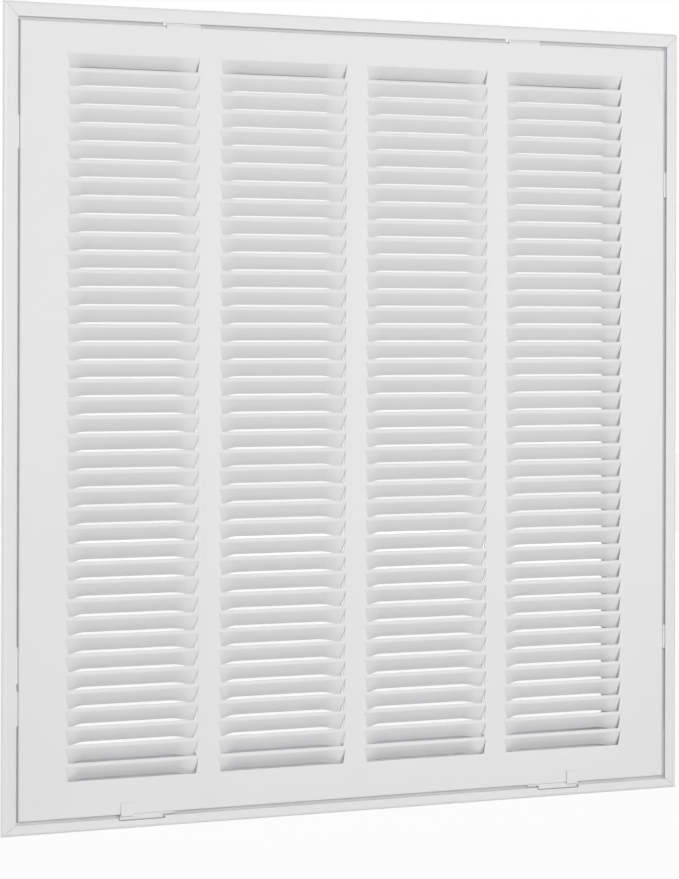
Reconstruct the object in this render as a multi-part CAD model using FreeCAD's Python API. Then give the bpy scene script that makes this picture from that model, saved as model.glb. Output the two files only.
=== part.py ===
import FreeCAD, Part
import math
import os
from FreeCAD import Vector

# Return air filter grille: a mitred sheet steel frame with a filter box behind it, and a
# stamped louvre door that hangs from two hinge tabs and is held by two slide latches.
# Millimetres. X to the right, Z up, the front faces -Y. The wall plane is y = 0, and the
# origin is the middle of the grille on that plane.

# Whole size and sheet
overall_width = 571.5
overall_height = 571.5
sheet = 0.8
bend = 0.6
cut_past = 1.0

# Frame: visible lip, ledge against the wall, filter box in the duct opening
lip_depth = 4.0
lip_bend = 1.4
lip_face = 10.0
bottom_lip_face = 7.2
box_margin = 33.55
box_depth = 30.0
back_lip = 12.0

# Screw holes in the ledge of the side rails
screw_hole = 5.0
screw_from_side = 22.25
screw_from_end = 57.15

# Guide tabs lanced from the ledge of the side rails: (distance from that end, length)
guide_height = 2.0
guide_setback = 0.7
left_guides_from_top = ((89.0, 22.0),)
left_guides_from_bottom = ((116.5, 24.0), (87.0, 23.0))
right_guides_from_top = ((114.7, 19.0),)
right_guides_from_bottom = ((114.9, 18.0),)

# Corner pieces of the frame
key_leg = 45.0
key_sheet = 1.2
key_inset = 1.6
angle_leg = 22.0
angle_height = 22.0

# Louvre door
door_gap = 2.2
door_recess = 0.2
door_edge_bend = 0.6
flange_clearance = 0.3

# Louvres stamped in the door, over the filter box
louvre_columns = 4
louvre_pitch = 12.7
louvre_land = 3.3
column_land = 16.7
louvre_top_lead = 1.45
louvre_foot_clearance = 1.15
louvre_side_inset = 16.75
louvre_end_slant = 1.9
blade_angle = 35.0
blade_gap = 0.9
blade_end_run = 18.0
blade_end_share = 0.72
blade_end_taper = 2.6

# Hinge: a tab behind the lip of the top rail, turning about its bend just below that lip
hinge_from_side = 140.75
hinge_tab_width = 28.0
hinge_tab_clearance = 0.3
hinge_tab_relief = 1.0
hinge_tab_root = 2.0
hinge_relief_drop = 2.6
hinge_joggle_angle = 30.0
hinge_bend = 0.3
hinge_pivot_drop = 0.75
hinge_tab_rise = 2.15
hinge_slot_side = 1.0
hinge_slot_above = 2.0
hinge_slot_below = 0.9

# Slide latches on the lower edge of the door
latch_from_side = 91.75
latch_end_room = 1.5
latch_travel = 20.0
latch_plate_length = 44.0
latch_tongue_length = 34.0
latch_clearance = 0.3
latch_tongue_reach = 2.6
latch_plate_rise = 14.0
finger_width = 9.6
finger_height = 9.6
finger_bend = 0.2
notch_margin = 1.5
notch_depth = 3.2
stud_shank = 3.2
stud_head = 6.0
stud_head_height = 0.5
stud_rise = 8.0
stud_slot_clearance = 0.35

# Levels worked out from the sizes above
lip_front = -lip_depth
lip_back = lip_front + sheet
ledge_front = -sheet
door_front = lip_front + door_recess
door_back = door_front + sheet
flange_end = ledge_front - flange_clearance
half_width = overall_width / 2
half_height = overall_height / 2
box_width = overall_width - 2 * box_margin
box_height = overall_height - 2 * box_margin
door_left = -half_width + lip_face + door_gap
door_right = -door_left
door_top = half_height - lip_face - door_gap
door_bottom = -half_height + bottom_lip_face + door_gap
pivot_z = half_height - lip_face - hinge_pivot_drop
tab_front = lip_back + hinge_tab_clearance
pivot_y = tab_front - hinge_bend
hinge_offset = half_width - hinge_from_side
latch_offset = half_width - latch_from_side
first_louvre = box_height / 2 + louvre_top_lead
louvre_field = box_height + louvre_top_lead - louvre_foot_clearance
louvre_rows = int((louvre_field + louvre_land) / louvre_pitch + 1e-6)
louvre_height = louvre_pitch - louvre_land
louvre_width = (box_width - 2 * louvre_side_inset + column_land) / louvre_columns - column_land


def yz(points):
    """Points of the YZ plane as vectors."""
    return [Vector(0, y, z) for y, z in points]


def rounded_wire(corners, radii):
    """Closed wire through the corners, each one rounded by its radius."""
    count = len(corners)
    entries = []
    for i in range(count):
        here = corners[i]
        to_last = (corners[i - 1] - here).normalize()
        to_next = (corners[(i + 1) % count] - here).normalize()
        if radii[i] <= 0:
            entries.append((here, None, here))
            continue
        half = to_last.getAngle(to_next) / 2
        run = radii[i] / math.tan(half)
        middle = (to_last + to_next).normalize()
        crown = here + middle * (radii[i] / math.sin(half) - radii[i])
        entries.append((here + to_last * run, crown, here + to_next * run))
    edges = []
    for i in range(count):
        start, crown, end = entries[i]
        if crown:
            edges.append(Part.Arc(start, crown, end).toShape())
        following = entries[(i + 1) % count][0]
        if (following - end).Length > 1e-6:
            edges.append(Part.LineSegment(end, following).toShape())
    return Part.Wire(edges)


def sheet_profile(path, thickness, bends):
    """Face in the YZ plane of a sheet bent along a path of (y, z) points.

    The metal lies on the right of the path, and each bend is an inside radius.
    """
    normals = []
    for (y0, z0), (y1, z1) in zip(path, path[1:]):
        length = math.hypot(y1 - y0, z1 - z0)
        normals.append(((z1 - z0) / length, -(y1 - y0) / length))
    last = len(path) - 1
    far_side = []
    near_radii = []
    far_radii = []
    for i, (y, z) in enumerate(path):
        before = normals[max(i - 1, 0)]
        after = normals[min(i, last - 1)]
        scale = thickness / (1 + before[0] * after[0] + before[1] * after[1])
        far_side.append((y + (before[0] + after[0]) * scale, z + (before[1] + after[1]) * scale))
        turn = before[0] * after[1] - before[1] * after[0]
        radius = bends[i - 1] if 0 < i < last else 0
        near_radii.append(radius if turn > 0 else radius and radius + thickness)
        far_radii.append(radius if turn < 0 else radius and radius + thickness)
    corners = yz(path + far_side[::-1])
    return Part.Face(rounded_wire(corners, near_radii + far_radii[::-1]))


def flat_face(corners):
    return Part.Face(Part.makePolygon(corners + corners[:1]))


def block(x0, x1, y0, y1, z0, z1):
    return Part.makeBox(x1 - x0, y1 - y0, z1 - z0, Vector(x0, y0, z0))


def rail(length, face_width):
    """One rail as it lies along the top: outer edge at z = 0, inward is -z."""
    path = [
        (lip_front, -face_width),
        (lip_front, 0),
        (0, 0),
        (0, -box_margin),
        (box_depth, -box_margin),
        (box_depth, -box_margin - back_lip),
    ]
    section = sheet_profile(path, sheet, [lip_bend, bend, bend, bend])
    section.translate(Vector(-length / 2, 0, 0))
    return section.extrude(Vector(length, 0, 0))


def mitred(body, length):
    """Cuts both ends of a rail at 45 degrees from its outer corners, as deep as it reaches."""
    reach = box_margin + back_lip + cut_past
    outline = [
        Vector(-length / 2, 0, 0),
        Vector(length / 2, 0, 0),
        Vector(length / 2 - reach, 0, -reach),
        Vector(-length / 2 + reach, 0, -reach),
    ]
    wedge = flat_face(outline)
    wedge.translate(Vector(0, lip_front - cut_past, 0))
    return body.common(wedge.extrude(Vector(0, box_depth - lip_front + 2 * cut_past, 0)))


def placed(body, turn, x, z):
    body = body.copy()
    body.rotate(Vector(0, 0, 0), Vector(0, 1, 0), turn)
    body.translate(Vector(x, 0, z))
    return body


def bored(body, x, z, diameter):
    """Round hole along Y through the ledge."""
    return body.cut(Part.makeCylinder(diameter / 2, 4 * sheet, Vector(x, -2 * sheet, z), Vector(0, 1, 0)))


def guide_tab(body, middle, length, face_width):
    """Tongue lanced from the ledge of a side rail and stood up in the door gap."""
    outer = -face_width - guide_setback
    inner = outer - sheet
    x0 = middle - length / 2
    x1 = middle + length / 2
    window = block(x0 - sheet, x1 + sheet, ledge_front - sheet, sheet, inner - guide_height, inner)
    tongue = block(x0, x1, ledge_front - guide_height, ledge_front, inner, outer)
    return body.cut(window).fuse(tongue)


def top_rail():
    body = rail(overall_width, lip_face)
    drop = half_height - pivot_z
    for side in (-1, 1):
        half = hinge_tab_width / 2 + hinge_slot_side
        x = side * hinge_offset
        body = body.cut(block(x - half, x + half, ledge_front - sheet, sheet,
                              -drop - hinge_slot_below, -drop + hinge_slot_above))
    return placed(mitred(body, overall_width), 0, 0, half_height)


def bottom_rail():
    body = rail(overall_width, bottom_lip_face)
    outer_end = latch_offset + notch_margin
    inner_end = latch_offset - latch_tongue_length - notch_margin
    for side in (-1, 1):
        ends = sorted((side * inner_end, side * outer_end))
        body = body.cut(block(ends[0], ends[1], lip_front - sheet, lip_back + sheet,
                              -bottom_lip_face - cut_past, -bottom_lip_face + notch_depth))
    return placed(mitred(body, overall_width), 180, 0, -half_height)


def side_rail(side):
    """Side rail, -1 for the left one and 1 for the right one."""
    body = rail(overall_height, lip_face)
    for end in (-1, 1):
        body = bored(body, end * (half_height - screw_from_end), -screw_from_side, screw_hole)
    from_top = left_guides_from_top if side < 0 else right_guides_from_top
    from_bottom = left_guides_from_bottom if side < 0 else right_guides_from_bottom
    for end, guides in ((1, from_top), (-1, from_bottom)):
        for distance, length in guides:
            body = guide_tab(body, -side * end * (half_height - distance), length, lip_face)
    return placed(mitred(body, overall_height), side * 90, side * half_width, 0)


def corner_key(side_x, side_z):
    """Flat L plate in the channel behind the lip, spot welded on the ledge."""
    width = lip_face - sheet - key_inset
    start = sheet + key_inset / 2
    y0 = ledge_front - key_sheet
    along_x = block(start, key_leg, y0, ledge_front, start, start + width)
    along_z = block(start, start + width, y0, ledge_front, start, key_leg)
    if side_z < 0:
        narrow = bottom_lip_face - lip_face
        along_x = block(start, key_leg, y0, ledge_front, start, start + width + narrow)
    body = along_x.fuse(along_z).removeSplitter()
    return cornered(body, side_x, side_z)


def cornered(body, side_x, side_z):
    """Moves a piece drawn inward from the corner (0, 0) to a corner of the frame."""
    if side_x > 0:
        body = body.mirror(Vector(0, 0, 0), Vector(1, 0, 0))
    if side_z > 0:
        body = body.mirror(Vector(0, 0, 0), Vector(0, 0, 1))
    body.translate(Vector(side_x * half_width, 0, side_z * half_height))
    return body


def box_angle(side_x, side_z):
    """Angle outside the corner of the filter box, spot welded to both walls."""
    start = box_margin - sheet
    end = box_margin + angle_leg
    y0 = (box_depth - angle_height) / 2
    y1 = y0 + angle_height
    outer = block(start, end, y0, y1, start, end)
    outer = outer.makeFillet(bend + sheet, [edge_at(outer, start, start)])
    inner = block(box_margin, end + cut_past, y0, y1, box_margin, end + cut_past)
    return cornered(outer.cut(inner), side_x, side_z)


def edge_at(body, x, z):
    """The straight edge along Y that passes through (x, z)."""
    for edge in body.Edges:
        ends = [vertex.Point for vertex in edge.Vertexes]
        if all(abs(p.x - x) < 1e-6 and abs(p.z - z) < 1e-6 for p in ends):
            return edge
    raise ValueError("no edge there")


def frame_corners():
    return [(side_x, side_z) for side_z in (1, -1) for side_x in (-1, 1)]


def door_pan():
    """Door sheet with rounded edges and a return flange all round, not yet pierced."""
    outer = block(door_left, door_right, door_front, flange_end, door_bottom, door_top)
    inner = block(door_left + sheet, door_right - sheet, door_back, flange_end + cut_past,
                  door_bottom + sheet, door_top - sheet)
    outer_edges = [e for e in outer.Edges if all(abs(v.Y - door_front) < 1e-6 for v in e.Vertexes)]
    inner_edges = [e for e in inner.Edges if all(abs(v.Y - door_back) < 1e-6 for v in e.Vertexes)]
    outer = outer.makeFillet(door_edge_bend + sheet, outer_edges)
    inner = inner.makeFillet(door_edge_bend, inner_edges)
    return outer.cut(inner)


def louvre_places():
    """Middle x and top z of every louvre."""
    column_pitch = louvre_width + column_land
    first_x = -column_pitch * (louvre_columns - 1) / 2
    for column in range(louvre_columns):
        for row in range(louvre_rows):
            yield first_x + column * column_pitch, first_louvre - row * louvre_pitch


def louvre_slots():
    """Pierced openings under the blades, narrower at the foot, as cutting bodies."""
    half_top = louvre_width / 2
    half_foot = half_top - louvre_end_slant
    front = door_front - cut_past
    cutters = []
    for x, top in louvre_places():
        corners = [
            Vector(x - half_top, front, top),
            Vector(x + half_top, front, top),
            Vector(x + half_foot, front, top - louvre_height),
            Vector(x - half_foot, front, top - louvre_height),
        ]
        cutters.append(flat_face(corners).extrude(Vector(0, sheet + 2 * cut_past, 0)))
    return cutters


def blade_section(x, top, share, slant):
    """Outline of a blade cut across at x; share is how far it is bent, 1 being fully.

    slant is how far the cut moves along x for each millimetre that it goes down.
    """
    full = math.radians(blade_angle)
    angle = full * share
    length = (louvre_height - blade_gap) / math.cos(full)
    tip_y = door_front + length * math.sin(angle)
    tip_z = top - length * math.cos(angle)
    points = [
        (door_front, top),
        (tip_y, tip_z),
        (tip_y + sheet * math.cos(angle), tip_z + sheet * math.sin(angle)),
        (door_back, top - sheet * math.tan(angle / 2)),
        (door_back, top),
    ]
    return [Vector(x + slant * (top - z), y, z) for y, z in points]


def pressed_strip(sections):
    """Solid through a row of like outlines, folded flat where two of them are twisted."""
    faces = [flat_face(sections[0]), flat_face(sections[-1])]
    for near, far in zip(sections, sections[1:]):
        for i in range(len(near)):
            j = (i + 1) % len(near)
            a, b, c, d = near[i], near[j], far[j], far[i]
            if abs((b - a).cross(c - a).dot(d - a)) < 1e-9:
                faces.append(flat_face([a, b, c, d]))
            else:
                faces.append(flat_face([a, b, c]))
                faces.append(flat_face([a, c, d]))
    return Part.Solid(Part.Shell(faces))


def blade(x, top):
    """One louvre blade: fully bent in the middle, easing back towards its two ends."""
    half = louvre_width / 2
    inner = half - blade_end_run
    slant = blade_end_taper / louvre_height
    return pressed_strip([
        blade_section(x - half, top, blade_end_share, slant),
        blade_section(x - inner, top, 1.0, 0),
        blade_section(x + inner, top, 1.0, 0),
        blade_section(x + half, top, blade_end_share, -slant),
    ])


def hinge_tab(side):
    """Tab that leaves the door sheet, steps back and rises behind the lip."""
    tilt = math.radians(hinge_joggle_angle)
    step_end = pivot_z - hinge_bend * math.tan(tilt / 2)
    step_start = step_end - (tab_front - door_front) / math.tan(tilt)
    path = [
        (door_front, door_top - hinge_relief_drop - hinge_tab_root),
        (door_front, step_start),
        (tab_front, step_end),
        (tab_front, pivot_z + hinge_tab_rise),
    ]
    face = sheet_profile(path, sheet, [hinge_bend, hinge_bend])
    face.translate(Vector(side * hinge_offset - hinge_tab_width / 2, 0, 0))
    return face.extrude(Vector(hinge_tab_width, 0, 0))


def door_panel():
    body = door_pan()
    for side in (-1, 1):
        half = hinge_tab_width / 2 + hinge_tab_relief
        x = side * hinge_offset
        body = body.cut(block(x - half, x + half, door_front - cut_past, flange_end + cut_past,
                              door_top - hinge_relief_drop, door_top + cut_past))
        ends = sorted((side * (latch_offset + latch_end_room),
                       side * (latch_offset - latch_plate_length - latch_travel - latch_end_room)))
        body = body.cut(block(ends[0], ends[1], door_back, flange_end + cut_past,
                              door_bottom - cut_past, door_bottom + sheet + door_edge_bend))
    body = body.cut(louvre_slots())
    pieces = [blade(x, top) for x, top in louvre_places()]
    pieces += [hinge_tab(side) for side in (-1, 1)]
    return body.fuse(pieces).removeSplitter()


def latch_levels():
    """Front and back of the latch plate, and the front of its finger."""
    plate_front = door_back + latch_clearance
    finger_back = door_front - latch_clearance
    return plate_front, plate_front + sheet, finger_back - sheet


def latch(side):
    """Slide latch: plate behind the door, tongue for the lip, finger over the door face."""
    plate_front, plate_back, finger_front = latch_levels()
    web_top = door_bottom - latch_clearance
    web_bottom = web_top - sheet
    tongue_end = -half_height + bottom_lip_face - latch_tongue_reach
    plate = block(-latch_plate_length, 0, plate_front, plate_back, web_bottom, door_bottom + latch_plate_rise)
    tongue = block(-latch_tongue_length, 0, plate_front, plate_back, tongue_end, door_bottom)
    path = [
        (finger_front, web_bottom + finger_height),
        (finger_front, web_bottom),
        (plate_back, web_bottom),
        (plate_back, door_bottom),
    ]
    hook = sheet_profile(path[::-1], sheet, [finger_bend, finger_bend])
    hook.translate(Vector(-finger_width, 0, 0))
    body = plate.fuse([tongue, hook.extrude(Vector(finger_width, 0, 0))]).removeSplitter()
    slot_z = door_bottom + stud_rise
    radius = stud_shank / 2 + stud_slot_clearance
    start = -(latch_plate_length - latch_travel) / 2
    end = start - latch_travel
    y0 = plate_front - cut_past
    depth = sheet + 2 * cut_past
    slot = block(end, start, y0, y0 + depth, slot_z - radius, slot_z + radius)
    for x in (start, end):
        slot = slot.fuse(Part.makeCylinder(radius, depth, Vector(x, y0, slot_z), Vector(0, 1, 0)))
    body = body.cut(slot)
    body.translate(Vector(latch_offset, 0, 0))
    if side < 0:
        body = body.mirror(Vector(0, 0, 0), Vector(1, 0, 0))
    return body


def latch_stud(side):
    """Shouldered stud welded on the back of the door, which carries one latch in its slot."""
    plate_back = latch_levels()[1]
    x = latch_offset - (latch_plate_length - latch_travel) / 2 - latch_travel
    foot = Vector(side * x, door_back, door_bottom + stud_rise)
    shank_length = plate_back + latch_clearance - door_back
    shank = Part.makeCylinder(stud_shank / 2, shank_length, foot, Vector(0, 1, 0))
    head_foot = foot + Vector(0, shank_length, 0)
    head = Part.makeCylinder(stud_head / 2, stud_head_height, head_foot, Vector(0, 1, 0))
    return shank.fuse(head)


def solid_of(shape):
    """The shape itself, or its only solid where a fuse left it in a compound."""
    return shape.Solids[0] if len(shape.Solids) == 1 else shape


def build():
    parts = {
        "frame_rail_top": top_rail(),
        "frame_rail_bottom": bottom_rail(),
        "frame_rail_left": side_rail(-1),
        "frame_rail_right": side_rail(1),
    }
    for side_x, side_z in frame_corners():
        corner = ("top" if side_z > 0 else "bottom") + ("_left" if side_x < 0 else "_right")
        parts["corner_key_" + corner] = corner_key(side_x, side_z)
        parts["box_angle_" + corner] = box_angle(side_x, side_z)
    parts["louvre_door"] = door_panel()
    for side, name in ((-1, "left"), (1, "right")):
        parts["latch_" + name] = latch(side)
        parts["latch_stud_" + name] = latch_stud(side)
    return parts


os.makedirs("parts", exist_ok=True)
for name, shape in build().items():
    shape = solid_of(shape)
    box = shape.BoundBox
    print(name, len(shape.Solids), shape.isValid(), round(shape.Volume, 1),
          [round(v, 2) for v in (box.XMin, box.XMax, box.YMin, box.YMax, box.ZMin, box.ZMax)])
    shape.exportStep("parts/" + name + ".step")
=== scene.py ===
"""Return air filter grille: a mitred white frame with a stamped louvre door, dressed around its solids."""

import math

import bpy
from mathutils import Matrix, Vector


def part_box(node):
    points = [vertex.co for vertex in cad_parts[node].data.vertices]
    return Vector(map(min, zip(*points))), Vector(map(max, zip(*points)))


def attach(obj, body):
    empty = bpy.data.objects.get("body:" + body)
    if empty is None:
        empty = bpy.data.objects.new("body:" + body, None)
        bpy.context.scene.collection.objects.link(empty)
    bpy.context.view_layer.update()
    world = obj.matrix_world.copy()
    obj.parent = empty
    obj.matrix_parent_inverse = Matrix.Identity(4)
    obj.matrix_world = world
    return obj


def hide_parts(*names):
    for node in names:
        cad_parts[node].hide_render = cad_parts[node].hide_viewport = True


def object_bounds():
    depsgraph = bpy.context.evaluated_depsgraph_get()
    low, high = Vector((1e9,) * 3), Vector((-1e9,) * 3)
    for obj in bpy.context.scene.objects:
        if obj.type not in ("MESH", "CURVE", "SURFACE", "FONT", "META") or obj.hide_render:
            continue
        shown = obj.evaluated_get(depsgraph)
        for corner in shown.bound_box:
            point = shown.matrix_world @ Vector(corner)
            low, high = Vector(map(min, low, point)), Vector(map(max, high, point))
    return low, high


bl_info = {
    "name": "Return Air Filter Grille",
    "version": (1, 0, 0),
    "blender": (4, 5, 0),
    "location": "3D View > Sidebar > Grille",
    "description": "Louvre door, powder coat and zinc finishes and a pale studio for a return air grille",
    "category": "Object",
}

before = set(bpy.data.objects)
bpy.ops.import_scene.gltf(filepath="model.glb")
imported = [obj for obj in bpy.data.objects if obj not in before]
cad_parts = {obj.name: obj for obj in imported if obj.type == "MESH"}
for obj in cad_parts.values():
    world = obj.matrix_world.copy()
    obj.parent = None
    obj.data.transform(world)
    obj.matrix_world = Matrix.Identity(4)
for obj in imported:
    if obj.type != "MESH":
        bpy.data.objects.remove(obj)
CAD_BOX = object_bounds()

DOOR_LOW, DOOR_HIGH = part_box("louvre_door")
SIDE_RAILS = ("frame_rail_left", "frame_rail_right")
RAILS = ("frame_rail_top", "frame_rail_bottom") + SIDE_RAILS
LATCHES = ("latch_left", "latch_right")
PLATED_NODES = tuple(
    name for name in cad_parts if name.startswith(("corner_key_", "box_angle_", "latch_stud_"))
)
MM = 0.001
# Distance below which two places count as the same, and within which a vertex lies on a level
SAME_PLACE = 0.001 * MM
NEAR = 0.02 * MM
# Angle above which two faces meet in a sharp edge
SHARP_ANGLE = math.radians(35.0)


def length(name, description, default_mm, **limits):
    """A length property, written in millimetres and kept in metres."""
    return bpy.props.FloatProperty(
        name=name, description=description, default=default_mm * MM,
        subtype="DISTANCE", unit="LENGTH", precision=5, **limits)


def colour(name, description, default):
    return bpy.props.FloatVectorProperty(
        name=name, description=description, default=default, size=3, min=0.0, max=1.0, subtype="COLOR")


def fraction(name, description, default, low=0.0, high=1.0):
    return bpy.props.FloatProperty(
        name=name, description=description, default=default, min=low, max=high, subtype="FACTOR")


def power(name, description, default):
    return bpy.props.FloatProperty(
        name=name, description=description, default=default, min=0.0, unit="POWER")


class GrilleDoorSizes(bpy.types.PropertyGroup):
    """Sizes of the pressed door sheet."""

    sheet: length("Sheet", "Thickness of the door sheet", 0.8, min=0.0)
    edge_radius: length("Edge Radius", "Outside radius of the door's rounded edge", 1.4)
    flange_depth: length("Flange Depth", "Depth of the return flange behind the face", 2.7)
    tab_offset: length("Tab Offset", "Distance of each hinge tab from the middle", 145.0)
    tab_width: length("Tab Width", "Width of a hinge tab", 28.0)
    tab_relief: length("Tab Relief", "Slit on each side of a hinge tab", 0.5)
    tab_stand: length("Tab Stand", "Height of a hinge tab above the door's top edge", 3.6)
    tab_setback: length("Tab Setback", "How far a hinge tab steps back from the face", 0.9)
    tab_bend: length("Tab Bend", "Inside radius of the bends in a hinge tab", 0.3)
    tab_joggle: bpy.props.FloatProperty(
        name="Tab Joggle", description="Slope of the step in a hinge tab",
        default=math.radians(30.0), subtype="ANGLE", unit="ROTATION")
    tab_straight: length("Tab Straight", "Height of a hinge tab above its step", 2.23)
    relief_drop: length("Relief Drop", "Depth of the slits below the door's top edge", 1.8)
    latch_room_outer: length("Latch Room Outer", "Middle to the outer end of the flange's gap", 195.5)
    latch_room_inner: length("Latch Room Inner", "Middle to the inner end of the flange's gap", 128.5)


class GrilleLouvreSizes(bpy.types.PropertyGroup):
    """Sizes of the louvres."""

    columns: bpy.props.IntProperty(name="Columns", description="Columns of louvres", default=4, min=1)
    rows: bpy.props.IntProperty(name="Rows", description="Louvres in a column", default=40, min=1)
    pitch: length("Pitch", "Distance from one louvre to the next", 12.63)
    land: length("Land", "Flat strip between two slots", 2.1)
    width: length("Width", "Width of a slot at its top", 105.6)
    column_land: length("Column Land", "Flat strip between two columns", 16.3)
    first_top: length("First Slot", "Height of the first slot's top above the middle", 252.35)
    field_offset: length("Field Offset", "How far the louvres stand right of the middle", -1.7)
    end_slant: length("End Slant", "How much narrower a slot is at each end of its foot", 1.9)
    blade_length: length("Blade Length", "Length of drawn sheet in a blade", 11.55)
    blade_bend: length("Blade Bend", "Length of sheet taken by a blade's bend", 1.0)
    blade_taper: length("Blade Taper", "How far each end of a blade draws in at its free edge", 2.05)
    end_run: length("End Run", "Length over which a blade eases at each end", 16.0)
    end_share: fraction("End Share", "How far a blade is bent at its very end", 0.42)
    blade_angle: bpy.props.FloatProperty(
        name="Blade Angle", description="Angle of a blade behind the door face",
        default=math.radians(36.5), subtype="ANGLE", unit="ROTATION")


class GrilleFrameSizes(bpy.types.PropertyGroup):
    """Sizes of the frame's lips, mitres, guides and latch notches."""

    lip_face: length("Lip Face", "Width of the lip at the sides", 10.0)
    door_gap: length("Door Gap", "Gap between the lip and the door", 2.2)
    guide_front: length("Guide Front", "How far a guide stands in front of the wall", 2.84)
    guide_sheet: length("Guide Sheet", "Thickness of a guide's folded face", 0.5)
    guide_tuck: length("Guide Tuck", "How far a guide reaches under the lip", 0.5)
    guide_clearance: length("Guide Clearance", "Gap between a guide and the door", 0.4)
    notch_depth: length("Notch Depth", "Depth of a latch notch in the bottom lip", 1.8)
    bottom_lip_face: length("Bottom Lip Face", "Width of the lip at the bottom", 7.2)
    mitre_gap: length("Mitre Gap", "Hairline that each rail leaves at a mitre", 0.12)
    tongue_reach: length("Tongue Reach", "How far a latch tongue reaches below the edge of the lip", 1.35)


class GrilleFinish(bpy.types.PropertyGroup):
    """Colours of the coatings."""

    coat: colour("Powder Coat", "Colour of the white powder coat", (0.80, 0.80, 0.81))
    coat_roughness: fraction("Coat Roughness", "Roughness of the powder coat", 0.38)
    grain_size: length("Grain Size", "Size of the powder coat's orange peel", 1.1)
    zinc: colour("Zinc", "Colour of the zinc plating", (0.66, 0.67, 0.69))
    zinc_roughness: fraction("Zinc Roughness", "Roughness of the zinc plating", 0.34)
    spangle_size: length("Spangle Size", "Size of the mottle in the zinc", 3.0)


class GrilleStudio(bpy.types.PropertyGroup):
    """Floor, lights and camera."""

    floor: colour("Floor", "Colour of the floor", (0.92, 0.92, 0.92))
    shadow: fraction("Shadow", "How strongly the floor shows the object's shadow", 0.08)
    key_power: power("Key Power", "Power of the large soft light", 81.0)
    side_power: power("Side Power", "Power of the light from the left", 13.0)
    fill_power: power("Fill Power", "Power of the light from the right", 13.5)
    top_power: power("Top Power", "Power of the light from above", 7.0)
    rear_power: power("Rear Power", "Power of the light from behind", 38.0)
    ambient: fraction("Ambient", "Brightness of the surroundings on the object", 0.3, 0.0, 2.0)
    focal_length: bpy.props.FloatProperty(
        name="Focal Length", description="Focal length on a 36 mm high sensor", default=160.38, min=1.0)
    frame_shift: bpy.props.FloatProperty(
        name="Frame Shift", description="Vertical shift that frames the photograph", default=-0.1363)
    camera_place: bpy.props.FloatVectorProperty(
        name="Camera Place", description="Where the camera stands", size=3, subtype="TRANSLATION",
        unit="LENGTH", default=(-1.50335, -2.39305, 0.06842))
    camera_turn: bpy.props.FloatProperty(
        name="Camera Turn", description="Turn of the camera to its right", default=0.5568,
        subtype="ANGLE", unit="ROTATION")
    camera_roll: bpy.props.FloatProperty(
        name="Camera Roll", description="Roll of the camera", default=-0.00289,
        subtype="ANGLE", unit="ROTATION")


# Sheet metal

def ease(t):
    """Smooth step from 0 to 1."""
    t = min(max(t, 0.0), 1.0)
    return t * t * (3.0 - 2.0 * t)


def rounded_path(points, radii, steps):
    """Open path of (y, z) points with each inner corner rounded in some steps."""
    path = [Vector(points[0])]
    for i in range(1, len(points) - 1):
        here = Vector(points[i])
        back = (Vector(points[i - 1]) - here).normalized()
        ahead = (Vector(points[i + 1]) - here).normalized()
        half = back.angle(ahead) / 2
        run = radii[i - 1] / math.tan(half)
        centre = here + (back + ahead).normalized() * (radii[i - 1] / math.sin(half))
        start = here + back * run - centre
        end = here + ahead * run - centre
        turn = start.angle_signed(end)
        for k in range(steps + 1):
            spin = Matrix.Rotation(-turn * k / steps, 2)
            path.append(centre + spin @ start)
    path.append(Vector(points[-1]))
    return path


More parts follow.
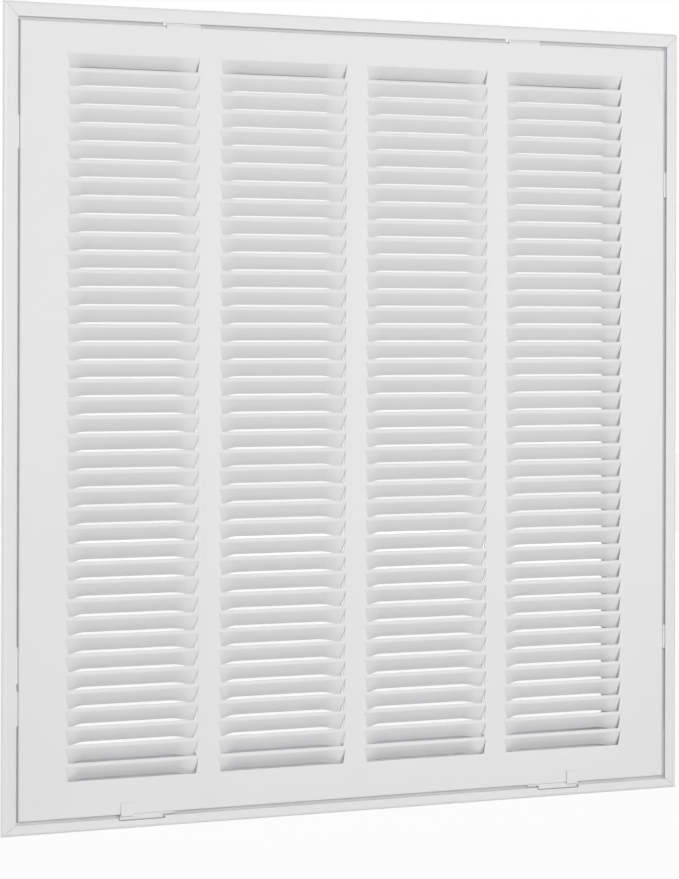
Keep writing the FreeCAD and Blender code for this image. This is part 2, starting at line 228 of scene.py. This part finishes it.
class DoorSheet:
    """Front skin of the door: flat lands, blades, rounded edge, flange and hinge tabs."""

    # Degrees round the door's edge, one of them where the edge is a sheet's thickness deep
    edge_angles = (0, 16, 32, 48, 64.62, 78, 90)
    blade_steps = 5
    tab_steps = 4
    # Shares of a blade's end run where it has a line of vertices
    end_marks = (0.0, 0.1, 0.24, 0.4, 0.56, 0.74, 0.88, 1.0)
    # Decimals of a metre to which these lines are placed, so that equal ones fall together
    decimals = 7

    def __init__(self, door, louvre):
        self.door = door
        self.louvre = louvre
        self.vertices = []
        self.faces = []
        self.left, self.front, self.bottom = DOOR_LOW
        self.right = DOOR_HIGH[0]
        self.top = DOOR_HIGH[2] - door.tab_stand
        self.stations = self.find_stations()
        self.levels = self.find_levels()
        self.grid = {}

    def vertex(self, x, y, z):
        self.vertices.append((x, y, z))
        return len(self.vertices) - 1

    def column_middle(self, column):
        pitch = self.louvre.width + self.louvre.column_land
        return self.louvre.field_offset + pitch * (column - (self.louvre.columns - 1) / 2)

    def column_of(self, x):
        """The column whose slots reach over this x, or None on a flat strip."""
        for column in range(self.louvre.columns):
            if abs(x - self.column_middle(column)) < self.louvre.width / 2 + SAME_PLACE:
                return column
        return None

    def find_stations(self):
        """Every x where the sheet has a line of vertices, as (x, column)."""
        half = self.louvre.width / 2
        places = [self.left + self.door.edge_radius, self.right - self.door.edge_radius]
        outer = self.door.tab_width / 2 + self.door.tab_relief
        for side in (-1, 1):
            for offset in (-outer, -self.door.tab_width / 2, self.door.tab_width / 2, outer):
                places.append(side * self.door.tab_offset + offset)
            places.append(side * self.door.latch_room_outer)
            places.append(side * self.door.latch_room_inner)
        for column in range(self.louvre.columns):
            middle = self.column_middle(column)
            for mark in self.end_marks:
                for side in (-1, 1):
                    places.append(middle + side * (half - mark * self.louvre.end_run))
        found = {round(x, self.decimals) for x in places}
        return [(x, self.column_of(x)) for x in sorted(found)]

    def find_levels(self):
        """Every height where the sheet has a row of vertices, as (kind, z), from the top down."""
        levels = [("plain", self.top - self.door.edge_radius), ("plain", self.top - self.door.relief_drop)]
        slot = self.louvre.pitch - self.louvre.land
        for row in range(self.louvre.rows):
            z = self.louvre.first_top - row * self.louvre.pitch
            levels += [("slot_top", z), ("slot_foot", z - slot)]
        levels.append(("plain", self.bottom + self.door.edge_radius))
        return levels

    def place_at(self, station, kind):
        """The x of a station on a level: slots are narrower at their foot."""
        x, column = self.stations[station]
        if kind != "slot_foot" or column is None:
            return x
        half = self.louvre.width / 2
        middle = self.column_middle(column)
        return middle + (x - middle) * (half - self.louvre.end_slant) / half

    def bent_share(self, x, column):
        """How far a blade is bent at x, 1 being fully."""
        to_end = self.louvre.width / 2 - abs(x - self.column_middle(column))
        start = self.louvre.end_share
        return start + (1.0 - start) * ease(to_end / self.louvre.end_run)

    def in_tab(self, x, relief):
        half = self.door.tab_width / 2 + (self.door.tab_relief if relief else 0.0)
        return abs(abs(x) - self.door.tab_offset) < half

    def flat(self):
        for level, (kind, z) in enumerate(self.levels):
            for station in range(len(self.stations)):
                self.grid[level, station] = self.vertex(self.place_at(station, kind), self.front, z)
        for level in range(len(self.levels) - 1):
            for station in range(len(self.stations) - 1):
                x, column = self.stations[station]
                next_x, next_column = self.stations[station + 1]
                in_column = column is not None and column == next_column
                in_slot = in_column and self.levels[level][0] == "slot_top"
                beside_tab = level == 0 and self.in_tab((x + next_x) / 2, True)
                if in_slot or beside_tab:
                    continue
                self.quad(level, station, level + 1, station + 1)

    def quad(self, level, station, low_level, next_station):
        self.faces.append((self.grid[level, station], self.grid[low_level, station],
                           self.grid[low_level, next_station], self.grid[level, next_station]))

    def blade_profile(self, share):
        """Points of a blade below the slot's top, as (set back, drop, sheet used)."""
        bend = self.louvre.blade_bend
        angle = self.louvre.blade_angle * share
        straight = self.louvre.blade_length - bend
        radius = bend / angle
        points = []
        for k in range(1, self.blade_steps + 1):
            turned = angle * k / self.blade_steps
            back = radius * (1 - math.cos(turned))
            down = radius * math.sin(turned)
            points.append((back, down, bend * k / self.blade_steps))
        back += straight * math.sin(angle)
        down += straight * math.cos(angle)
        points.append((back, down, bend + straight))
        return points

    def blades(self):
        half = self.louvre.width / 2
        for level, (kind, z) in enumerate(self.levels):
            if kind != "slot_top":
                continue
            last = None
            for station, (x, column) in enumerate(self.stations):
                if column is None:
                    last = None
                    continue
                if last is not None and last[0] != column:
                    last = None
                middle = self.column_middle(column)
                profile = self.blade_profile(self.bent_share(x, column))
                line = [self.grid[level, station]]
                for back, down, used in profile:
                    drawn_in = self.louvre.blade_taper * used / profile[-1][2]
                    across = middle + (x - middle) * (1 - drawn_in / half)
                    line.append(self.vertex(across, self.front + back, z - down))
                if last is not None:
                    for k in range(len(line) - 1):
                        self.faces.append((last[1][k], last[1][k + 1], line[k + 1], line[k]))
                last = (column, line)

    def outline(self):
        """Vertices round the flat sheet, as (index, outward x, outward z), clockwise from the top left."""
        last_station = len(self.stations) - 1
        last_level = len(self.levels) - 1
        around = [(self.grid[0, s], 0, 1) for s in range(1, last_station)]
        around.append((self.grid[0, last_station], 1, 1))
        around += [(self.grid[level, last_station], 1, 0) for level in range(1, last_level)]
        around.append((self.grid[last_level, last_station], 1, -1))
        around += [(self.grid[last_level, s], 0, -1) for s in range(last_station - 1, 0, -1)]
        around.append((self.grid[last_level, 0], -1, -1))
        around += [(self.grid[level, 0], -1, 0) for level in range(last_level - 1, 0, -1)]
        around.append((self.grid[0, 0], -1, 1))
        return around

    def edge(self):
        """Rounded edge and return flange, open at the hinge tabs and behind the latches."""
        around = self.outline()
        radius = self.door.edge_radius
        rings = [[index for index, out_x, out_z in around]]
        steps = []
        for degrees in self.edge_angles[1:]:
            angle = math.radians(degrees)
            steps.append((radius * math.sin(angle), radius * (1 - math.cos(angle))))
        steps.append((radius, self.door.flange_depth))
        for out, back in steps:
            ring = []
            for index, out_x, out_z in around:
                x, y, z = self.vertices[index]
                ring.append(self.vertex(x + out_x * out, self.front + back, z + out_z * out))
            rings.append(ring)
        depths = [0.0] + [back for out, back in steps]
        for k in range(len(rings) - 1):
            for i in range(len(around)):
                j = (i + 1) % len(around)
                middle_x = (self.vertices[around[i][0]][0] + self.vertices[around[j][0]][0]) / 2
                along_top = around[i][2] == 1 and around[j][2] == 1
                along_bottom = around[i][2] == -1 and around[j][2] == -1
                if along_top and self.in_tab(middle_x, True):
                    continue
                behind_face = depths[k] > self.door.sheet - NEAR
                in_room = self.door.latch_room_inner < abs(middle_x) < self.door.latch_room_outer
                if along_bottom and behind_face and in_room:
                    continue
                self.faces.append((rings[k][i], rings[k][j], rings[k + 1][j], rings[k + 1][i]))

    def tabs(self):
        """The two hinge tabs, which step back and rise behind the lip."""
        door = self.door
        tab_front = self.front + door.tab_setback
        tab_top = DOOR_HIGH[2]
        step_end = tab_top - door.tab_straight
        step_start = step_end - door.tab_setback / math.tan(door.tab_joggle)
        slit_foot = self.levels[1][1]
        corners = [(self.front, slit_foot), (self.front, step_start)]
        corners += [(tab_front, step_end), (tab_front, tab_top)]
        path = rounded_path(corners, (door.tab_bend + door.sheet, door.tab_bend), self.tab_steps)[1:]
        for side in (-1, 1):
            lines = []
            for station, (x, column) in enumerate(self.stations):
                if x * side < 0 or abs(abs(x) - door.tab_offset) > door.tab_width / 2 + SAME_PLACE:
                    continue
                line = [self.grid[1, station]]
                line += [self.vertex(x, y, z) for y, z in path]
                lines.append(line)
            for near, far in zip(lines, lines[1:]):
                for k in range(len(near) - 1):
                    self.faces.append((near[k], far[k], far[k + 1], near[k + 1]))

    def mesh(self, name):
        self.flat()
        self.blades()
        self.edge()
        self.tabs()
        used = sorted({index for face in self.faces for index in face})
        renumbered = {index: k for k, index in enumerate(used)}
        data = bpy.data.meshes.new(name)
        data.from_pydata([self.vertices[i] for i in used], [],
                         [tuple(renumbered[i] for i in face) for face in self.faces])
        data.validate()
        return data


# Pieces in the gap

# Guides lanced from the side rails, as (side, height above the middle, length) in millimetres
GUIDES = (
    (-1, 196.75, 22.0),
    (-1, -169.25, 24.0),
    (-1, -198.75, 23.0),
    (1, 171.05, 19.0),
    (1, -170.85, 18.0),
)
# Where the bottom lip's notches and the latch tongues end in the solids, and the back of the lip
NOTCH_FLOOR = -281.75 * MM
TONGUE_END = -281.15 * MM
LIP_BACK = -3.2 * MM


def block_mesh(name, boxes):
    """Mesh of separate blocks, each given by its low and high corner."""
    vertices = []
    faces = []
    for low, high in boxes:
        first = len(vertices)
        spans = list(zip(low, high))
        vertices += [(x, y, z) for x in spans[0] for y in spans[1] for z in spans[2]]
        sides = ((0, 1, 3, 2), (4, 6, 7, 5), (0, 4, 5, 1), (2, 3, 7, 6), (0, 2, 6, 4), (1, 5, 7, 3))
        faces += [tuple(first + corner for corner in side) for side in sides]
    data = bpy.data.meshes.new(name)
    data.from_pydata(vertices, [], faces)
    return data


def copied(context, node_name, body):
    """Coated copy of a node, whose mesh can be worked on."""
    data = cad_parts[node_name].data.copy()
    data.materials.clear()
    data.materials.append(bpy.data.materials["white powder coat"])
    piece = bpy.data.objects.new(node_name + "_skin", data)
    context.scene.collection.objects.link(piece)
    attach(piece, body)
    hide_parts(node_name)
    return piece


# Shader nodes

# Detail of the fine and the slow noise, and the slow one's share of the tone
FINE_DETAIL = 2.0
SLOW_DETAIL = 3.0
DRIFT_SHARE = 0.75
# Range that the tone of the grain mostly keeps to
TONE_RANGE = (0.3, 0.7)
# For each coating: factors of its colour from darkest to lightest, spread of its roughness,
# scale of its drift per metre and depth of its relief
COAT_TONES = (0.985, 1.01)
COAT_SPREAD = (-0.03, 0.03)
COAT_DRIFT = 9.0
COAT_RELIEF = 0.015 * MM
ZINC_TONES = (0.86, 1.08)
ZINC_SPREAD = (-0.08, 0.10)
ZINC_DRIFT = 60.0
ZINC_RELIEF = 0.010 * MM


def new_material(name):
    material = bpy.data.materials.new(name)
    material.use_nodes = True
    nodes = material.node_tree.nodes
    nodes.clear()
    shader = nodes.new("ShaderNodeBsdfPrincipled")
    output = nodes.new("ShaderNodeOutputMaterial")
    material.node_tree.links.new(shader.outputs["BSDF"], output.inputs["Surface"])
    return material, shader


def group_sockets(tree, inputs, outputs):
    for name, default in inputs:
        socket = tree.interface.new_socket(name=name, in_out="INPUT", socket_type="NodeSocketFloat")
        socket.default_value = default
    for name, kind in outputs:
        tree.interface.new_socket(name=name, in_out="OUTPUT", socket_type=kind)
    return tree.nodes.new("NodeGroupInput"), tree.nodes.new("NodeGroupOutput")


def math_node(tree, operation, first, second):
    node = tree.nodes.new("ShaderNodeMath")
    node.operation = operation
    for socket, value in zip(node.inputs, (first, second)):
        if hasattr(value, "links"):
            tree.links.new(value, socket)
        else:
            socket.default_value = value
    return node.outputs[0]


def surface_grain():
    """Group: fine relief and slow drift of tone, laid out in the object's own space."""
    tree = bpy.data.node_groups.new("surface grain", "ShaderNodeTree")
    source, result = group_sockets(
        tree,
        (("Grain per Metre", 900.0), ("Drift per Metre", COAT_DRIFT), ("Grain Softness", 0.5)),
        (("Height", "NodeSocketFloat"), ("Tone", "NodeSocketFloat")))
    place = tree.nodes.new("ShaderNodeTexCoord")
    fine = tree.nodes.new("ShaderNodeTexNoise")
    fine.inputs["Detail"].default_value = FINE_DETAIL
    slow = tree.nodes.new("ShaderNodeTexNoise")
    slow.inputs["Detail"].default_value = SLOW_DETAIL
    for noise, scale in ((fine, "Grain per Metre"), (slow, "Drift per Metre")):
        tree.links.new(place.outputs["Object"], noise.inputs["Vector"])
        tree.links.new(source.outputs[scale], noise.inputs["Scale"])
    tree.links.new(source.outputs["Grain Softness"], fine.inputs["Roughness"])
    tree.links.new(fine.outputs["Fac"], result.inputs["Height"])
    drift_part = math_node(tree, "MULTIPLY", slow.outputs["Fac"], DRIFT_SHARE)
    grain_part = math_node(tree, "MULTIPLY", fine.outputs["Fac"], 1.0 - DRIFT_SHARE)
    mixed = math_node(tree, "ADD", drift_part, grain_part)
    tree.links.new(mixed, result.inputs["Tone"])
    return tree


def grained(material, shader, group, colours, roughness, grain, drift, relief):
    """Feeds a shader from the grain group: a pair of colours, a pair of roughnesses and a relief."""
    tree = material.node_tree
    node = tree.nodes.new("ShaderNodeGroup")
    node.node_tree = group
    node.inputs["Grain per Metre"].default_value = grain
    node.inputs["Drift per Metre"].default_value = drift
    ramp = tree.nodes.new("ShaderNodeValToRGB")
    for stop, position, value in zip(ramp.color_ramp.elements, TONE_RANGE, colours):
        stop.position = position
        stop.color = (*value, 1.0)
    tree.links.new(node.outputs["Tone"], ramp.inputs["Fac"])
    tree.links.new(ramp.outputs["Color"], shader.inputs["Base Color"])
    spread = tree.nodes.new("ShaderNodeMapRange")
    spread.inputs["From Min"].default_value = TONE_RANGE[0]
    spread.inputs["From Max"].default_value = TONE_RANGE[1]
    spread.inputs["To Min"].default_value = roughness[0]
    spread.inputs["To Max"].default_value = roughness[1]
    tree.links.new(node.outputs["Tone"], spread.inputs["Value"])
    tree.links.new(spread.outputs["Result"], shader.inputs["Roughness"])
    bump = tree.nodes.new("ShaderNodeBump")
    bump.inputs["Strength"].default_value = 1.0
    bump.inputs["Distance"].default_value = relief
    tree.links.new(node.outputs["Height"], bump.inputs["Height"])
    tree.links.new(bump.outputs["Normal"], shader.inputs["Normal"])


def shades(value, factors):
    """A colour made darker and lighter by each factor."""
    return [tuple(min(channel * factor, 1.0) for channel in value) for factor in factors]


def dress(node_name, material):
    """Gives a carried-over node one material in every slot."""
    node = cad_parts[node_name]
    if not node.material_slots:
        node.data.materials.append(material)
    for slot in node.material_slots:
        slot.material = material


# Operators

class GRILLE_OT_finishes(bpy.types.Operator):
    """Make the powder coat and the zinc plating, and put them on the frame, latches and fittings"""

    bl_idname = "grille.finishes"
    bl_label = "Coat and Plate"

    def execute(self, context):
        finish = context.scene.grille_finish
        group = surface_grain()
        coat, shader = new_material("white powder coat")
        shader.inputs["Specular IOR Level"].default_value = 0.5
        shader.inputs["IOR"].default_value = 1.5
        roughness = [finish.coat_roughness + step for step in COAT_SPREAD]
        grained(coat, shader, group, shades(finish.coat, COAT_TONES), roughness,
                1.0 / finish.grain_size, COAT_DRIFT, COAT_RELIEF)
        zinc, shader = new_material("zinc plate")
        shader.inputs["Metallic"].default_value = 1.0
        roughness = [finish.zinc_roughness + step for step in ZINC_SPREAD]
        grained(zinc, shader, group, shades(finish.zinc, ZINC_TONES), roughness,
                1.0 / finish.spangle_size, ZINC_DRIFT, ZINC_RELIEF)
        for name in RAILS + LATCHES:
            dress(name, coat)
        for name in PLATED_NODES:
            dress(name, zinc)
        return {"FINISHED"}


class GRILLE_OT_door(bpy.types.Operator):
    """Press the louvre door: one sheet with its blades, rounded edge, flange and hinge tabs"""

    bl_idname = "grille.door"
    bl_label = "Louvre Door"

    def execute(self, context):
        sizes = context.scene.grille_door
        data = DoorSheet(sizes, context.scene.grille_louvre).mesh("louvre_door_skin")
        door = bpy.data.objects.new("louvre_door_skin", data)
        context.scene.collection.objects.link(door)
        thicken = door.modifiers.new("sheet", "SOLIDIFY")
        thicken.thickness = sizes.sheet
        thicken.offset = -1.0
        thicken.use_even_offset = True
        even = door.modifiers.new("flat lands", "WEIGHTED_NORMAL")
        even.keep_sharp = True
        data.shade_smooth()
        data.set_sharp_from_angle(angle=SHARP_ANGLE)
        data.materials.append(bpy.data.materials["white powder coat"])
        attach(door, "door")
        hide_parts("louvre_door")
        return {"FINISHED"}


class GRILLE_OT_guides(bpy.types.Operator):
    """Fold the faces of the guides that stand in the gap beside the door"""

    bl_idname = "grille.guides"
    bl_label = "Guides"

    def execute(self, context):
        sizes = context.scene.grille_frame
        lip_edge = CAD_BOX[1][0] - sizes.lip_face
        near = lip_edge - sizes.door_gap + sizes.guide_clearance
        far = lip_edge + sizes.guide_tuck
        boxes = []
        for side, height, tongue in GUIDES:
            left, right = sorted((side * near, side * far))
            bottom = (height - tongue / 2) * MM
            top = (height + tongue / 2) * MM
            back = sizes.guide_sheet - sizes.guide_front
            boxes.append(((left, -sizes.guide_front, bottom), (right, back, top)))
        data = block_mesh("guide_faces", boxes)
        guides = bpy.data.objects.new("guide_faces", data)
        context.scene.collection.objects.link(guides)
        round_over = guides.modifiers.new("rounded edges", "BEVEL")
        round_over.width = sizes.guide_sheet / 3
        round_over.segments = 2
        data.materials.append(bpy.data.materials["white powder coat"])
        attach(guides, "frame")
        return {"FINISHED"}


class GRILLE_OT_rails(bpy.types.Operator):
    """Dress the four rails, with a hairline at each mitre and shallow latch notches"""

    bl_idname = "grille.rails"
    bl_label = "Frame Rails"

    def execute(self, context):
        sizes = context.scene.grille_frame
        for name in RAILS:
            rail = copied(context, name, "frame")
            for vertex in rail.data.vertices:
                self.fit_mitre(vertex.co, name, sizes)
                if abs(vertex.co.z - NOTCH_FLOOR) < NEAR and vertex.co.y < LIP_BACK + NEAR:
                    vertex.co.z = sizes.bottom_lip_face - sizes.notch_depth + CAD_BOX[0][2]
        return {"FINISHED"}

    def fit_mitre(self, place, name, sizes):
        """Joins the lips of different width at their inner corner, and opens the mitre by a hairline."""
        if abs(abs(place.x) - abs(place.z)) > NEAR:
            return
        side_edge = CAD_BOX[1][0] - sizes.lip_face
        bottom_edge = CAD_BOX[0][2] + sizes.bottom_lip_face
        in_lip = place.y < LIP_BACK + NEAR
        if name == "frame_rail_bottom" and in_lip and abs(place.z - bottom_edge) < NEAR:
            place.x = math.copysign(side_edge, place.x)
        if name in SIDE_RAILS and in_lip and abs(place.z + side_edge) < NEAR:
            place.z = bottom_edge
        if name in SIDE_RAILS:
            place.z -= math.copysign(sizes.mitre_gap, place.z)
        else:
            place.x -= math.copysign(sizes.mitre_gap, place.x)


class GRILLE_OT_latches(bpy.types.Operator):
    """Dress the two slide latches, with a tongue that fits the shallow notch"""

    bl_idname = "grille.latches"
    bl_label = "Latches"

    def execute(self, context):
        sizes = context.scene.grille_frame
        for name in LATCHES:
            latch = copied(context, name, name)
            for vertex in latch.data.vertices:
                if abs(vertex.co.z - TONGUE_END) < NEAR:
                    vertex.co.z = sizes.bottom_lip_face - sizes.tongue_reach + CAD_BOX[0][2]
        return {"FINISHED"}


# Lamps as (name, power property, place, size), all aimed at the middle of the grille
LAMPS = (
    ("key", "key_power", (-1.7, -3.9, 1.35), 1.6),
    ("side", "side_power", (-3.0, 0.1, 0.4), 1.2),
    ("fill", "fill_power", (2.0, -2.6, 0.1), 0.7),
    ("top", "top_power", (0.2, -0.3, 2.6), 1.8),
    ("rear", "rear_power", (2.2, 2.9, 0.5), 1.6),
)
# Half of the floor's side, and how far the floor lies below the grille
FLOOR_HALF = 6.0
FLOOR_DROP = 0.4 * MM
WHITE = (1.0, 1.0, 1.0, 1.0)
# The camera's sensor in millimetres, and how far it sees in metres
SENSOR_HEIGHT = 36.0
SEEN_FAR = 50.0


class GRILLE_OT_studio(bpy.types.Operator):
    """Set up the pale floor, the soft lights and the camera"""

    bl_idname = "grille.studio"
    bl_label = "Studio"

    def execute(self, context):
        studio = context.scene.grille_studio
        self.floor(context, studio)
        self.world(context, studio)
        for name, setting, place, size in LAMPS:
            self.light(context, name, getattr(studio, setting), place, size)
        self.camera(context, studio)
        context.scene.view_settings.view_transform = "Standard"
        return {"FINISHED"}

    def floor(self, context, studio):
        z = CAD_BOX[0][2] - FLOOR_DROP
        corners = [(x * FLOOR_HALF, y * FLOOR_HALF, z) for x, y in ((-1, -1), (1, -1), (1, 1), (-1, 1))]
        data = bpy.data.meshes.new("floor")
        data.from_pydata(corners, [], [(0, 1, 2, 3)])
        floor = bpy.data.objects.new("floor", data)
        context.scene.collection.objects.link(floor)
        material = bpy.data.materials.new("pale floor")
        material.use_nodes = True
        tree = material.node_tree
        tree.nodes.clear()
        diffuse = tree.nodes.new("ShaderNodeBsdfDiffuse")
        diffuse.inputs["Color"].default_value = (*studio.floor, 1.0)
        glow = tree.nodes.new("ShaderNodeEmission")
        glow.inputs["Color"].default_value = WHITE
        path = tree.nodes.new("ShaderNodeLightPath")
        share = math_node(tree, "MULTIPLY", seen_ray(tree, path), 1.0 - studio.shadow)
        mix = tree.nodes.new("ShaderNodeMixShader")
        output = tree.nodes.new("ShaderNodeOutputMaterial")
        tree.links.new(share, mix.inputs[0])
        tree.links.new(diffuse.outputs[0], mix.inputs[1])
        tree.links.new(glow.outputs[0], mix.inputs[2])
        tree.links.new(mix.outputs[0], output.inputs["Surface"])
        data.materials.append(material)

    def world(self, context, studio):
        world = bpy.data.worlds.new("studio")
        context.scene.world = world
        world.use_nodes = True
        tree = world.node_tree
        tree.nodes.clear()
        path = tree.nodes.new("ShaderNodeLightPath")
        span = tree.nodes.new("ShaderNodeMapRange")
        span.inputs["To Min"].default_value = studio.ambient
        span.inputs["To Max"].default_value = 1.0
        background = tree.nodes.new("ShaderNodeBackground")
        background.inputs["Color"].default_value = WHITE
        output = tree.nodes.new("ShaderNodeOutputWorld")
        tree.links.new(seen_ray(tree, path), span.inputs["Value"])
        tree.links.new(span.outputs["Result"], background.inputs["Strength"])
        tree.links.new(background.outputs[0], output.inputs["Surface"])

    def light(self, context, name, energy, place, size):
        data = bpy.data.lights.new(name, "AREA")
        data.energy = energy
        data.size = size
        lamp = bpy.data.objects.new(name, data)
        lamp.location = place
        lamp.rotation_euler = (-Vector(place)).to_track_quat("-Z", "Y").to_euler()
        context.scene.collection.objects.link(lamp)

    def camera(self, context, studio):
        data = bpy.data.cameras.new("camera")
        data.sensor_fit = "VERTICAL"
        data.sensor_height = SENSOR_HEIGHT
        data.lens = studio.focal_length
        data.shift_y = studio.frame_shift
        data.clip_end = SEEN_FAR
        camera = bpy.data.objects.new("camera", data)
        turn = studio.camera_turn
        ahead = Vector((math.sin(turn), math.cos(turn), 0.0))
        right = Vector((math.cos(turn), -math.sin(turn), 0.0))
        up = Vector((0.0, 0.0, 1.0))
        cos_roll = math.cos(studio.camera_roll)
        sin_roll = math.sin(studio.camera_roll)
        across = cos_roll * right - sin_roll * up
        upward = sin_roll * right + cos_roll * up
        axes = Matrix((across, upward, -ahead)).transposed()
        camera.matrix_world = Matrix.Translation(studio.camera_place) @ axes.to_4x4()
        context.scene.collection.objects.link(camera)
        context.scene.camera = camera


def seen_ray(tree, path):
    """1 on rays from the camera and on mirror and glass rays, which see the white surroundings."""
    seen = math_node(tree, "MAXIMUM", path.outputs["Is Camera Ray"], path.outputs["Is Glossy Ray"])
    return math_node(tree, "MAXIMUM", seen, path.outputs["Is Transmission Ray"])


class GRILLE_PT_panel(bpy.types.Panel):
    """Steps and sizes of the grille"""

    bl_idname = "GRILLE_PT_panel"
    bl_label = "Return Air Grille"
    bl_space_type = "VIEW_3D"
    bl_region_type = "UI"
    bl_category = "Grille"

    def draw(self, context):
        for operator in OPERATORS:
            self.layout.operator(operator.bl_idname)
        for kind, name in GROUPS:
            group = getattr(context.scene, name)
            box = self.layout.box()
            for value in group.bl_rna.properties.keys():
                if value not in ("rna_type", "name"):
                    box.prop(group, value)


GROUPS = (
    (GrilleDoorSizes, "grille_door"),
    (GrilleLouvreSizes, "grille_louvre"),
    (GrilleFrameSizes, "grille_frame"),
    (GrilleFinish, "grille_finish"),
    (GrilleStudio, "grille_studio"),
)
OPERATORS = (GRILLE_OT_finishes, GRILLE_OT_door, GRILLE_OT_rails, GRILLE_OT_guides,
             GRILLE_OT_latches, GRILLE_OT_studio)


def register():
    for group, name in GROUPS:
        bpy.utils.register_class(group)
        setattr(bpy.types.Scene, name, bpy.props.PointerProperty(type=group))
    for operator in OPERATORS:
        bpy.utils.register_class(operator)
    bpy.utils.register_class(GRILLE_PT_panel)


def unregister():
    bpy.utils.unregister_class(GRILLE_PT_panel)
    for operator in reversed(OPERATORS):
        bpy.utils.unregister_class(operator)
    for group, name in reversed(GROUPS):
        delattr(bpy.types.Scene, name)
        bpy.utils.unregister_class(group)


def main():
    register()
    bpy.ops.grille.finishes()
    bpy.ops.grille.door()
    bpy.ops.grille.rails()
    bpy.ops.grille.guides()
    bpy.ops.grille.latches()
    bpy.ops.grille.studio()


if __name__ == "__main__":
    main()
